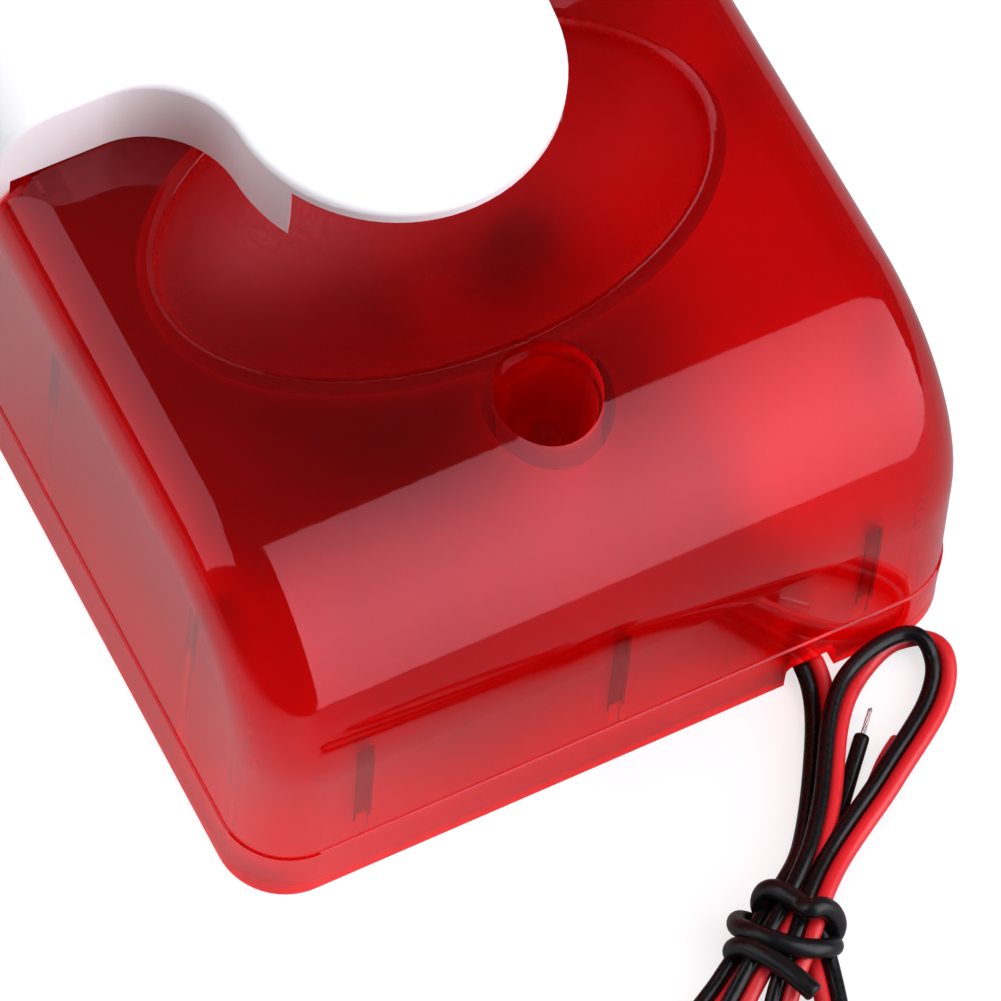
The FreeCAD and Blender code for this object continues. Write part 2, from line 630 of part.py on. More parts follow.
# ---------------------------------------------------------------- siren driver

def driver_ears(z0, z1, hole_r):
    """Three screw ears round the driver."""
    ears = []
    holes = []
    for x, y in ear_places():
        ears.append(rod(x, y, z0, z1, 3.2))
        holes.append(rod(x, y, z0 - 1, z1 + 1, hole_r))
    return ears, holes


def driver_housing():
    """Cup that carries the piezo plate on a ledge."""
    ears, holes = driver_ears(DRIVER_Z0, DRIVER_Z0 + 2, SCREW_R + 0.2)
    cup = fuse([rod(0, DRIVER_Y, DRIVER_Z0, DUCT_Z0, DRIVER_R)] + ears)
    cup = cup.cut(rod(0, DRIVER_Y, DRIVER_Z0 + 2, PLATE_Z, 17.5))
    cup = cup.cut(rod(0, DRIVER_Y, PLATE_Z, DUCT_Z0 + 1, 20.0))
    cup = cup.cut(box(-4, 4, DRIVER_Y - DRIVER_R - 1, DRIVER_Y - 15, DRIVER_Z0 + 3, DRIVER_Z0 + 6))
    for hole in holes:
        cup = cup.cut(hole)
        cup = cup.cut(rod(hole.CenterOfMass.x, hole.CenterOfMass.y, DRIVER_Z0 + 2, DUCT_Z0 + 1, 2.9))
    return cup


def piezo_plate():
    return rod(0, DRIVER_Y, PLATE_Z, PLATE_Z + 0.4, 19.8)


def piezo_ceramic():
    return rod(0, DRIVER_Y, PLATE_Z - 0.35, PLATE_Z, 12.5)


def clamp_ring():
    clamp = ring(0, DRIVER_Y, PLATE_Z + 0.4, DUCT_Z0, 19.9, 17.5)
    for angle in range(0, 360, 60):
        x = 18.7 * math.cos(math.radians(angle))
        y = DRIVER_Y + 18.7 * math.sin(math.radians(angle))
        clamp = clamp.cut(rod(x, y, DUCT_Z0 - 0.8, DUCT_Z0 + 1, 0.7))
    return clamp


def horn_duct():
    """Throat over the driver that turns forward into a flat spout behind the tongue."""
    flange = rod(0, DRIVER_Y, DUCT_Z0, DUCT_Z0 + 1.6, 21.0)
    tower = box(-SPOUT_X, SPOUT_X, DRIVER_Y - 13, DRIVER_Y + 11, DUCT_Z0, SPOUT_Z1)
    tower = tower.makeFillet(4.0, [e for e in tower.Edges if abs(e.Vertexes[0].Z - e.Vertexes[1].Z) > 1])
    spout = box(-SPOUT_X, SPOUT_X, SPOUT_FRONT, DRIVER_Y, SPOUT_Z0, SPOUT_Z1)
    solid = fuse([flange, tower, spout])
    skin = 1.2
    throat = Part.makeCone(7.0, 10.5, SPOUT_Z1 - skin - DUCT_Z0 + 1, V(0, DRIVER_Y - 1, DUCT_Z0 - 1))
    half = SPOUT_X - skin
    channel = box(-half, half, SPOUT_FRONT - 1, DRIVER_Y + 3, SPOUT_Z0 + skin, SPOUT_Z1 - skin)
    return solid.cut(throat).cut(channel)


def driver_screws():
    return Part.makeCompound([pan_screw(x, y, DRIVER_Z0 + 2, 6.0, 2.4) for x, y in ear_places()])


def piezo_lead(x):
    """Thin wire from the driver's side slot to the back edge of the board."""
    z = DRIVER_Z0 + 4.5
    route = [V(x, DRIVER_Y - 16.0, z), V(x * 1.1, 5.0, z), V(x * 1.6, 0.0, z + 1.6),
             V(x * 1.7, -5.0, z + 2.4), V(x * 1.5, -8.6, z + 1.6), V(x * 1.4, -9.4, BOARD_TOP + 0.2)]
    return tube(route, 0.5)


# ---------------------------------------------------------------- lead, hank and tie

def along_hank(s, t, z):
    """Point in the hank's own frame: s along it towards the case, t to its left, seen from above."""
    c = math.cos(math.radians(HANK_ANGLE))
    d = math.sin(math.radians(HANK_ANGLE))
    return V(TIE_CENTRE.x + s * c - t * d, TIE_CENTRE.y + s * d + t * c, z)


def hank_slab(outline, z0, z1):
    """Upright prism with its corners given in the hank's own frame."""
    spots = [along_hank(s, t, 0) for s, t in outline]
    return slab([(p.x, p.y) for p in spots], z0, z1)


def cable_hank():
    """Outer shape of the folded lead: two lower folds, the part inside the tie, and the upper fold."""
    upper = slab([(9.4, -77.8), (13.4, -82.2), (23.6, -76.4), (31.6, -69.0), (33.4, -64.6), (31.8, -61.2),
                  (25.2, -61.2), (21.6, -63.9), (18.9, -69.8), (16.2, -71.3)], 0, FOLD_TOP)
    waist = hank_slab([(-7, -2.7), (8, -2.7), (8, 2.7), (-7, 2.7)], WAIST_FLOOR, FOLD_TOP)
    lower = hank_slab([(-5.8, 4.2), (-5.8, -5.2), (-16, -10.6), (-28, -12.8), (-34.6, -10.2), (-36, -4.5),
                       (-35.5, 4), (-34.5, 11.5), (-30, 14.3), (-19, 11.5)], 0, FOLD_LOW_TOP)
    hank = fuse([upper, waist, lower])
    hank = hank.cut(tube(LEAD_ROUTE, LEAD_R))
    for points in (BLACK_END, RED_END):
        hank = hank.cut(tube(points, CORE_R))
        hank = hank.cut(core_tip(points[-1], points[-2], TIP_LENGTH))
    return hank


def hank_tie():
    """Plastic-coated wire wound twice round the hank."""
    turns = []
    for i in range(26):
        a = math.radians(200 - 30 * i)
        z = TIE_CENTRE.z + TIE_HALF_HEIGHT * math.sin(a)
        turns.append(along_hank(3.6 - TIE_PITCH * i, TIE_HALF_WIDTH * math.cos(a), z))
    path = Part.BSplineCurve()
    path.interpolate(turns)
    wire = Part.Wire([path.toShape()])
    section = Part.Wire([Part.Circle(turns[0], path.tangent(path.FirstParameter)[0], TIE_R).toShape()])
    return wire.makePipeShell([section], True, True)


def core_end(points):
    return tube(points, CORE_R)


def core_tip(last, before, length):
    """Bare tinned wire that stands out of a core's end."""
    direction = (last - before).normalize()
    return Part.makeCylinder(0.35, length, last, direction)


def main():
    os.makedirs("parts", exist_ok=True)
    save("red_lens", red_lens())
    save("white_cover", white_cover())
    save("case_screws", Part.makeCompound([pan_screw(0, y, WELL_FLOOR_Z + WALL, 9.0, 2.9, 2.2)
                                           for y in (WELL_FRONT_Y, WELL_REAR_Y)]))
    save("cover_screws", Part.makeCompound([pan_screw(x, y, LENS_HEIGHT - CASE_GAP - WALL, 7.0, up=True)
                                            for x, y in LENS_SCREWS]))
    save("base_plate", base_plate())
    save("circuit_board", circuit_board())
    save("board_screws", Part.makeCompound([pan_screw(x, y, BOARD_TOP, 6.0, 2.4) for x, y in BOARD_POSTS]))
    save("strobe_lamps", strobe_lamps())
    save("transformer_core", transformer_core())
    save("transformer_winding", transformer_winding())
    save("capacitor_can", capacitor_can())
    save("film_capacitors", film_capacitors())
    save("driver_transistors", driver_transistors())
    save("control_chip", control_chip())
    save("resistors", resistors())
    save("rectifier_diode", rectifier_diode())
    save("lead_connector", lead_connector())
    save("inner_lead_black", inner_lead(-1))
    save("inner_lead_red", inner_lead(1))
    save("cable_clip", cable_clip())
    save("clip_screws", clip_screws())
    save("driver_housing", driver_housing())
    save("piezo_plate", piezo_plate())
    save("piezo_ceramic", piezo_ceramic())
    save("clamp_ring", clamp_ring())
    save("horn_duct", horn_duct())
    save("driver_screws", driver_screws())
    save("piezo_lead_red", piezo_lead(2.0))
    save("piezo_lead_black", piezo_lead(-2.0))
    save("supply_cable", tube(LEAD_ROUTE, LEAD_R))
    save("cable_hank", cable_hank())
    save("hank_tie", hank_tie())
    save("black_core_end", core_end(BLACK_END))
    save("red_core_end", core_end(RED_END))
    save("black_core_tip", core_tip(BLACK_END[-1], BLACK_END[-2], TIP_LENGTH))
    save("red_core_tip", core_tip(RED_END[-1], RED_END[-2], TIP_LENGTH))


main()
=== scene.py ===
import json
import math

import bmesh
import bpy
from mathutils import Matrix, Vector


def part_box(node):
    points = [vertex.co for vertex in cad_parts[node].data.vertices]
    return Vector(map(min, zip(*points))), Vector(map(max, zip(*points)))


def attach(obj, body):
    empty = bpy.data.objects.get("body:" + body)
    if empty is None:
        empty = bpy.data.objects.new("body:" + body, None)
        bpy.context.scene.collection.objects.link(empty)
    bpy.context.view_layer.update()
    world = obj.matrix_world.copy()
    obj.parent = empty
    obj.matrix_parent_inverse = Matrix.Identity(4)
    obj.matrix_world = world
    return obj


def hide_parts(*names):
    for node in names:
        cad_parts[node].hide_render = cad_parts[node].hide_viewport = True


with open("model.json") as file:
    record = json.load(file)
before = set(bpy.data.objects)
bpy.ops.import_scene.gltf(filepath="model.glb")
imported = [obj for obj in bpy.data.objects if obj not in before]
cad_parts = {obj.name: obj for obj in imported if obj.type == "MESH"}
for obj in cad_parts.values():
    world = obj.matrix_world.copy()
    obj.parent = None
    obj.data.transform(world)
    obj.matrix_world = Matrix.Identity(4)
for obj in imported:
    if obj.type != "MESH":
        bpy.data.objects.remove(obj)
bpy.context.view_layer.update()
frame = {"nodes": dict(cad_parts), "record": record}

NODES = frame["nodes"]
MM = 0.001


def mm(x, y, z):
    """A point given in millimetres, in metres."""
    return Vector((x * MM, y * MM, z * MM))


# ---------------------------------------------------------------- camera

CAMERA_AZIMUTH = math.radians(-34.065)
CAMERA_ELEVATION = math.radians(61.58)
CAMERA_ROLL = math.radians(7.9)
CAMERA_DISTANCE = 0.66344
CAMERA_LENS = 265.3
LENS_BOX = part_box("red_lens")
AIM_FROM_FRONT = 0.0204
AIM_SIDE = -0.00215
AIM_HEIGHT = 0.01729


def add_camera():
    """Long lens over the lead's end of the case, rolled a little."""
    a, e, r = CAMERA_AZIMUTH, CAMERA_ELEVATION, CAMERA_ROLL
    back = Vector((math.sin(a) * math.cos(e), -math.cos(a) * math.cos(e), math.sin(e)))
    side = Vector((math.cos(a), math.sin(a), 0))
    up = back.cross(side)
    across = side * math.cos(r) + up * math.sin(r)
    upward = up * math.cos(r) - side * math.sin(r)
    aim = Vector((AIM_SIDE, LENS_BOX[0].y + AIM_FROM_FRONT, AIM_HEIGHT))
    place = Matrix((across, upward, back)).transposed().to_4x4()
    place.translation = aim + back * CAMERA_DISTANCE
    data = bpy.data.cameras.new("camera")
    data.lens = CAMERA_LENS
    data.sensor_width = 36
    data.clip_start = 0.02
    camera = bpy.data.objects.new("camera", data)
    camera.matrix_world = place
    bpy.context.scene.collection.objects.link(camera)
    bpy.context.scene.camera = camera


# ---------------------------------------------------------------- node helpers

class Shader:
    """Small builder for a material's nodes."""

    def __init__(self, name):
        self.material = bpy.data.materials.new(name)
        self.material.use_nodes = True
        self.tree = self.material.node_tree
        self.tree.nodes.clear()
        self.output = self.add("ShaderNodeOutputMaterial")
        self.bsdf = self.add("ShaderNodeBsdfPrincipled")
        self.link(self.bsdf, "BSDF", self.output, "Surface")
        self.place = self.add("ShaderNodeTexCoord")

    def add(self, kind, **values):
        node = self.tree.nodes.new(kind)
        for key, value in values.items():
            setattr(node, key, value)
        return node

    def link(self, a, out, b, into):
        self.tree.links.new(a.outputs[out], b.inputs[into])

    def maths(self, operation, a, a_out, b, b_out=0):
        """A maths node on the outputs of two nodes, or of one node and a number."""
        node = self.add("ShaderNodeMath", operation=operation)
        self.link(a, a_out, node, 0)
        if isinstance(b, (int, float)):
            node.inputs[1].default_value = b
        else:
            self.link(b, b_out, node, 1)
        return node

    def vector(self, operation, a, a_out, values=(0, 0, 0)):
        """A vector maths node on a node's output and a fixed vector."""
        node = self.add("ShaderNodeVectorMath", operation=operation)
        node.inputs[1].default_value = values
        self.link(a, a_out, node, 0)
        return node

    def set(self, **values):
        """Values on the principled shader, with underscores for spaces."""
        for key, value in values.items():
            self.bsdf.inputs[key.replace("_", " ")].default_value = value

    def noise(self, scale, detail=3.0, stretch=(1, 1, 1)):
        """Noise in object space, scale in waves a metre."""
        mapping = self.add("ShaderNodeMapping")
        mapping.inputs["Scale"].default_value = stretch
        self.link(self.place, "Object", mapping, "Vector")
        node = self.add("ShaderNodeTexNoise")
        node.inputs["Scale"].default_value = scale
        node.inputs["Detail"].default_value = detail
        self.link(mapping, "Vector", node, "Vector")
        return node

    def spread(self, source, low, high, from_low=0.35, from_high=0.65, out=0, easing="LINEAR"):
        """The source's value stretched from one range to another."""
        node = self.add("ShaderNodeMapRange", interpolation_type=easing)
        node.inputs["From Min"].default_value = from_low
        node.inputs["From Max"].default_value = from_high
        node.inputs["To Min"].default_value = low
        node.inputs["To Max"].default_value = high
        self.link(source, out, node, "Value")
        return node

    def mix(self, share, low, high):
        """The low value where share is 0 and the high one where it is 1."""
        node = self.add("ShaderNodeMix", data_type="FLOAT")
        self.link(share, 0, node, 0)
        self.link(low, 0, node, 2)
        self.link(high, 0, node, 3)
        return node

    def mix_colour(self, share, source, out, colour):
        """The source's colour where share is 0 and a fixed one where it is 1."""
        node = self.add("ShaderNodeMix", data_type="RGBA")
        self.link(share, 0, node, 0)
        self.link(source, out, node, 6)
        node.inputs[7].default_value = (*colour, 1)
        return node

    def tint(self, source, colour_a, colour_b, from_low=0.35, from_high=0.65):
        """Colour that wanders between two colours with the source."""
        ramp = self.add("ShaderNodeValToRGB")
        ramp.color_ramp.elements[0].position = from_low
        ramp.color_ramp.elements[1].position = from_high
        ramp.color_ramp.elements[0].color = (*colour_a, 1)
        ramp.color_ramp.elements[1].color = (*colour_b, 1)
        self.link(source, 0, ramp, "Fac")
        return ramp

    def bump(self, source, height, strength=1.0):
        """Bump from a value, height in metres."""
        node = self.add("ShaderNodeBump")
        node.inputs["Distance"].default_value = height
        node.inputs["Strength"].default_value = strength
        self.link(source, 0, node, "Height")
        self.link(node, "Normal", self.bsdf, "Normal")
        return node


def plastic(name, colour, vary, rough, rough_vary, grain=900, bump=0.00002, **values):
    """Moulded plastic: slight colour drift, uneven gloss and fine grain."""
    s = Shader(name)
    broad = s.noise(60, 4)
    dark = tuple(c * (1 - vary) for c in colour)
    light = tuple(min(1, c * (1 + vary)) for c in colour)
    s.link(s.tint(broad, dark, light), "Color", s.bsdf, "Base Color")
    fine = s.noise(grain, 4)
    s.link(s.spread(fine, rough - rough_vary, rough + rough_vary), "Result", s.bsdf, "Roughness")
    s.bump(fine, bump)
    s.set(**values)
    return s.material


LINE_GREYS = (0.8, 1.12)     # of a metal's colour, in its lines and between them
LINE_ROUGH = (0.7, 1.3)      # of its roughness


def metal(name, colour, rough, stretch=(1, 1, 8), scale=700):
    """Metal with fine drawn or rolled lines."""
    s = Shader(name)
    lines = s.noise(scale, 5, stretch)
    dark, light = (tuple(min(1, c * share) for c in colour) for share in LINE_GREYS)
    s.link(s.tint(lines, dark, light), "Color", s.bsdf, "Base Color")
    s.link(s.spread(lines, *(rough * share for share in LINE_ROUGH)), "Result", s.bsdf, "Roughness")
    s.bump(lines, 0.00001)
    s.set(Metallic=1.0)
    return s.material


# ---------------------------------------------------------------- stage

FLOOR_HALF = 0.95
FLOOR_FRONT = -0.34
FLOOR_DROP = -0.0002
FLOOR_FADE = (-0.25, 0.0)    # along Y, from the front grey to the back one
FLOOR_FRONT_GREY = (0.25, 0.25, 0.26)
FLOOR_BACK_GREY = (0.36, 0.36, 0.37)
FLOOR_GREYS = ((0.5, 0.80), (0.76, 0.88))
FLOOR_GLOW = 0.68            # only as seen by the camera
ROOM_DIM = 0.08


def seen_share(shader, low, high):
    """A value that is high where the camera sees the surface, and low for light and reflections."""
    path = shader.add("ShaderNodeLightPath")
    return shader.spread(path, low, high, 0.0, 1.0, out="Is Camera Ray")


def add_stage():
    """Pale floor that ends in front of the soft panel, and a dim room that looks white from the camera."""
    size = FLOOR_HALF
    mesh = bpy.data.meshes.new("floor")
    corners = [(-size, FLOOR_FRONT, 0), (size, FLOOR_FRONT, 0), (size, size, 0), (-size, size, 0)]
    mesh.from_pydata(corners, [], [(0, 1, 2, 3)])
    floor = bpy.data.objects.new("floor", mesh)
    floor.location.z = FLOOR_DROP
    bpy.context.scene.collection.objects.link(floor)
    s = Shader("floor_paper")
    apart = s.add("ShaderNodeSeparateXYZ")
    s.link(s.place, "Object", apart, "Vector")
    ramp = s.tint(s.spread(apart, 0.0, 1.0, *FLOOR_FADE), FLOOR_FRONT_GREY, FLOOR_BACK_GREY, 0.0, 1.0)
    for position, grey in FLOOR_GREYS:
        ramp.color_ramp.elements.new(position).color = (grey, grey, grey * 1.02, 1)
    mottle = s.add("ShaderNodeMix", data_type="RGBA", blend_type="MULTIPLY")
    mottle.inputs[0].default_value = 1.0
    s.link(ramp, "Color", mottle, 6)
    s.link(s.tint(s.noise(8, 3), (0.96, 0.96, 0.96), (1, 1, 1)), "Color", mottle, 7)
    s.link(mottle, 2, s.bsdf, "Base Color")
    s.link(seen_share(s, 0.0, FLOOR_GLOW), "Result", s.bsdf, "Emission Strength")
    s.set(Roughness=0.9)
    s.bsdf.inputs["Emission Color"].default_value = (1, 1, 1, 1)
    mesh.materials.append(s.material)

    world = bpy.data.worlds.new("room")
    world.use_nodes = True
    tree = world.node_tree
    path = tree.nodes.new("ShaderNodeLightPath")
    share = tree.nodes.new("ShaderNodeMapRange")
    share.inputs["To Min"].default_value = ROOM_DIM
    share.inputs["To Max"].default_value = 1.0
    tree.links.new(path.outputs["Is Camera Ray"], share.inputs["Value"])
    tree.links.new(share.outputs["Result"], tree.nodes["Background"].inputs["Strength"])
    tree.nodes["Background"].inputs["Color"].default_value = (1, 1, 1, 1)
    bpy.context.scene.world = world
    bpy.context.scene.view_settings.view_transform = "Standard"


def add_panel(name, centre, target, width, height, power, colour=(1, 1, 1)):
    """Soft rectangular light that faces the target."""
    data = bpy.data.lights.new(name, "AREA")
    data.shape = "RECTANGLE"
    data.size = width
    data.size_y = height
    data.energy = power
    data.color = colour
    panel = bpy.data.objects.new(name, data)
    panel.location = centre
    panel.rotation_mode = "QUATERNION"
    panel.rotation_quaternion = (Vector(target) - Vector(centre)).to_track_quat("-Z", "Y")
    panel.visible_camera = False
    bpy.context.scene.collection.objects.link(panel)
    return panel


FADE_MIDDLE = 0.45           # place of the front panel's brightest line, up its height
FADE_RANGE = (0.05, 0.55, 1.15, 0.6)


def fade_edges(panel):
    """Makes a panel brightest along its middle line and dimmer towards its upper and lower edges."""
    panel.data.use_nodes = True
    tree = panel.data.node_tree
    place = tree.nodes.new("ShaderNodeNewGeometry")
    apart = tree.nodes.new("ShaderNodeSeparateXYZ")
    offset = tree.nodes.new("ShaderNodeMath")
    offset.operation = "SUBTRACT"
    offset.inputs[1].default_value = FADE_MIDDLE
    size = tree.nodes.new("ShaderNodeMath")
    size.operation = "ABSOLUTE"
    fade = tree.nodes.new("ShaderNodeMapRange")
    for key, value in zip(("From Min", "From Max", "To Min", "To Max"), FADE_RANGE):
        fade.inputs[key].default_value = value
    tree.links.new(place.outputs["Parametric"], apart.inputs["Vector"])
    tree.links.new(apart.outputs["Y"], offset.inputs[0])
    tree.links.new(offset.outputs["Value"], size.inputs[0])
    tree.links.new(size.outputs["Value"], fade.inputs["Value"])
    tree.links.new(fade.outputs["Result"], tree.nodes["Emission"].inputs["Strength"])


COOL_WHITE = (0.94, 0.94, 1.0)


def add_lights():
    """A large soft panel that leans over the front, a smaller one on the left, and a fill overhead."""
    front = add_panel("front_panel", (0.97, -0.566, 0.4640), (0.97, -0.0090, -0.0090),
                      1.72, 1.376, 26.0, COOL_WHITE)
    fade_edges(front)
    add_panel("left_panel", (-0.866, 0.515, 0.659), (-0.026, 0.015, -0.041), 1.12, 1.15, 7.1, COOL_WHITE)
    fill = add_panel("top_fill", (0.0, 0.1, 1.2), (0, 0, 0), 1.0, 1.0, 6.8)
    fill.visible_glossy = False


# ---------------------------------------------------------------- materials

LENS_INSIDE = (0.0, -0.0204, -0.15)
BOWL_CENTRE = (0.0, -0.0204, 0.0)
BOWL_HALF = (0.0269, 0.0162, 10.0)
BOWL_EDGE = (0.95, 1.0)                 # of its half sizes, where it gives way to the flat top
# Painted shade on the lens: the left of the flat top and of the bowl is painted a deeper red where they
# lie in shade.
TOP_EDGE = (0.036, 0.0388)              # heights between the hump and the flat top
TOP_SHADE_FADE = (-0.018, 0.034, 1.0, 0.2)    # along X, painted shade from deep to pale
BOWL_SHADE_FADE = (-0.025, -0.006, 1.0, 0.0)
FRONT_RIB_HALF = (0.0009, 0.0014, 0.0062)
SIDE_RIB_HALF = (0.0018, 0.0009, 0.0046)
RIBS = [((x, -0.0582, 0.0150), FRONT_RIB_HALF) for x in (-0.0254, 0.0001, 0.0256)]
RIBS += [((x, y, 0.0255), SIDE_RIB_HALF) for y in (-0.045, -0.017) for x in (0.0332, -0.0332)]
SKIN_ROUGH = (0.03, 0.08)
BOWL_ROUGH = (0.46, 0.58)
INSIDE_ROUGH = (0.50, 0.60)
LENS_REDS = ((0.90, 0.002, 0.004), (0.97, 0.004, 0.007))
# Deeper red painted on as shade over the left of the lens top and bowl.
LENS_PAINTED_SHADE_RED = (0.34, 0.002, 0.004)
RIB_RED = (0.16, 0.002, 0.012)
LENS_GLINT = (1.0, 0.39, 0.46, 1)
LENS_SHADOW = (0.74, 0.01, 0.012, 1)


def outer_share(shader):
    """1 on faces that look away from the inside of the case, 0 on those that look into it."""
    away = shader.vector("SUBTRACT", shader.place, "Object", LENS_INSIDE)
    along = shader.vector("DOT_PRODUCT", away, 0)
    shader.link(shader.place, "Normal", along, 1)
    facing = shader.add("ShaderNodeNewGeometry")
    sign = shader.spread(facing, 1.0, -1.0, 0.0, 1.0, out="Backfacing")
    true_way = shader.maths("MULTIPLY", along, "Value", sign)
    return shader.maths("GREATER_THAN", true_way, 0, 0.0)


def bowl_share(shader):
    """1 over the bowl in plan, 0 outside it."""
    away = shader.vector("SUBTRACT", shader.place, "Object", BOWL_CENTRE)
    scaled = shader.vector("DIVIDE", away, 0, BOWL_HALF)
    reach = shader.vector("LENGTH", scaled, 0)
    return shader.spread(reach, 1.0, 0.0, *BOWL_EDGE, out="Value")


def rib_share(shader):
    """1 on the ribs inside the walls, where the plastic is thick, and 0 elsewhere."""
    shares = []
    for centre, half in RIBS:
        away = shader.vector("SUBTRACT", shader.place, "Object", centre)
        scaled = shader.vector("DIVIDE", shader.vector("ABSOLUTE", away, 0), 0, half)
        parts = shader.add("ShaderNodeSeparateXYZ")
        shader.link(scaled, 0, parts, 0)
        wide = shader.maths("MAXIMUM", parts, "X", parts, "Y")
        reach = shader.maths("MAXIMUM", wide, 0, parts, "Z")
        shares.append(shader.maths("LESS_THAN", reach, 0, 1.0))
    total = shares[0]
    for share in shares[1:]:
        total = shader.maths("MAXIMUM", total, 0, share)
    return total


def painted_shade_share(shader, bowl):
    """Painted shade: up to 1 on the left of the lens top and bowl, which are painted a deeper red where
    they lie in shade.
    """
    parts = shader.add("ShaderNodeSeparateXYZ")
    shader.link(shader.place, "Object", parts, 0)
    fades = [shader.spread(parts, start, end, low, high, out="X", easing="SMOOTHSTEP")
             for low, high, start, end in (TOP_SHADE_FADE, BOWL_SHADE_FADE)]
    high = shader.spread(parts, 0.0, 1.0, *TOP_EDGE, out="Z", easing="SMOOTHSTEP")
    either = shader.maths("MAXIMUM", high, 0, bowl)
    return shader.maths("MULTIPLY", shader.mix(bowl, *fades), 0, either)


def lens_material():
    """Clear red plastic, glossy outside and frosted inside, that lets light through to the parts."""
    s = Shader("lens_red")
    grain = s.noise(2600, 2)
    reds = s.tint(s.noise(40, 3), *LENS_REDS)
    bowl = bowl_share(s)
    # Painted shade: a deeper red over the left of the lens top and bowl.
    shaded = s.mix_colour(painted_shade_share(s, bowl), reds, "Color", LENS_PAINTED_SHADE_RED)
    s.link(s.mix_colour(rib_share(s), shaded, 2, RIB_RED), 2, s.bsdf, "Base Color")
    skin = s.mix(bowl, s.spread(grain, *SKIN_ROUGH), s.spread(grain, *BOWL_ROUGH))
    s.link(s.mix(outer_share(s), s.spread(grain, *INSIDE_ROUGH), skin), 0, s.bsdf, "Roughness")
    s.bump(grain, 0.000006, 0.35)
    s.set(IOR=1.6, Specular_IOR_Level=1.0, Transmission_Weight=0.98, Specular_Tint=LENS_GLINT)
    clear = s.add("ShaderNodeBsdfTransparent")
    clear.inputs["Color"].default_value = LENS_SHADOW
    path = s.add("ShaderNodeLightPath")
    both = s.add("ShaderNodeMixShader")
    s.link(path, "Is Shadow Ray", both, 0)
    s.link(s.bsdf, "BSDF", both, 1)
    s.link(clear, "BSDF", both, 2)
    s.link(both, "Shader", s.output, "Surface")
    return s.material


# Name, colour, its drift, roughness, its drift, grain in waves a metre, grain height in metres.
PLASTICS = [
    ("cover_white", (0.93, 0.93, 0.94), 0.02, 0.22, 0.05, 1500, 0.000008),
    ("base_white", (0.80, 0.80, 0.79), 0.04, 0.42, 0.08, 1200, 0.00002),
    ("board_tan", (0.24, 0.13, 0.06), 0.25, 0.32, 0.08, 2000, 0.00001),
    ("lamp_red", (0.42, 0.012, 0.012), 0.1, 0.08, 0.03, 900, 0.00001),
    ("ferrite", (0.035, 0.035, 0.04), 0.3, 0.55, 0.1, 3000, 0.00004),
    ("winding_tape", (0.03, 0.022, 0.02), 0.12, 0.25, 0.06, 700, 0.00003),
    ("capacitor_sleeve", (0.02, 0.025, 0.07), 0.2, 0.25, 0.06, 500, 0.00002),
    ("film_brown", (0.38, 0.08, 0.02), 0.15, 0.2, 0.06, 500, 0.00003),
    ("moulded_black", (0.02, 0.02, 0.02), 0.3, 0.45, 0.08, 2600, 0.00003),
    ("resistor_tan", (0.62, 0.47, 0.28), 0.12, 0.35, 0.06, 900, 0.00002),
    ("connector_cream", (0.80, 0.75, 0.62), 0.05, 0.4, 0.06, 900, 0.00002),
    ("horn_ivory", (0.52, 0.50, 0.45), 0.04, 0.38, 0.08, 2200, 0.00003),
    ("piezo_ceramic", (0.75, 0.75, 0.72), 0.06, 0.4, 0.08, 2600, 0.00002),
    ("pvc_black", (0.004, 0.0035, 0.004), 0.25, 0.26, 0.06, 1800, 0.00001),
    ("pvc_red", (0.62, 0.012, 0.018), 0.12, 0.34, 0.06, 1800, 0.00001),
    ("tie_black", (0.005, 0.0045, 0.005), 0.25, 0.34, 0.08, 1400, 0.00002),
]
EXTRAS = {
    "cover_white": {"IOR": 1.5},
    "lamp_red": {"Transmission_Weight": 0.7},
    "pvc_black": {"Specular_IOR_Level": 0.28},
    "tie_black": {"Specular_IOR_Level": 0.3},
}


def make_materials():
    """Every material by its slot's name."""
    m = {"lens_red": lens_material()}
    for name, *values in PLASTICS:
        m[name] = plastic(name, *values, **EXTRAS.get(name, {}))
    m["screw_steel"] = metal("screw_steel", (0.62, 0.62, 0.64), 0.3)
    m["piezo_brass"] = metal("piezo_brass", (0.78, 0.58, 0.25), 0.3, (1, 12, 1))
    m["tinned_copper"] = metal("tinned_copper", (0.72, 0.70, 0.70), 0.35, (1, 1, 1), 2500)
    return m


def dress_cad_nodes(materials):
    """Give every CAD node the material of its slot."""
    for part in frame["record"]["subparts"]:
        node = NODES[part["node"]]
        node.data.materials.clear()
        node.data.materials.append(materials[part["material_slot"]])


# ---------------------------------------------------------------- lead

CORE_R = 0.75 * MM
TIE_R = 0.93 * MM
SAME_PLACE = 0.02 * MM       # points of a line nearer than this are one
TIE_MIDDLE = mm(5.8, -83.8, 0)
HANK_ANGLE = math.radians(49)
HANK_ALONG = Vector((math.cos(HANK_ANGLE), math.sin(HANK_ANGLE), 0))
HANK_LEFT = Vector((-HANK_ALONG.y, HANK_ALONG.x, 0))


def hank(s, t, z):
    """A point given in the hank's own frame, in millimetres: along it, to its left, and up."""
    return TIE_MIDDLE + (HANK_ALONG * s + HANK_LEFT * t) * MM + Vector((0, 0, z * MM))


# Sizes of the tubes' rounded ends, as shares of their radius.
END_SCALE = 0.75
NEXT_SCALE = 0.93
END_REACH = 0.12

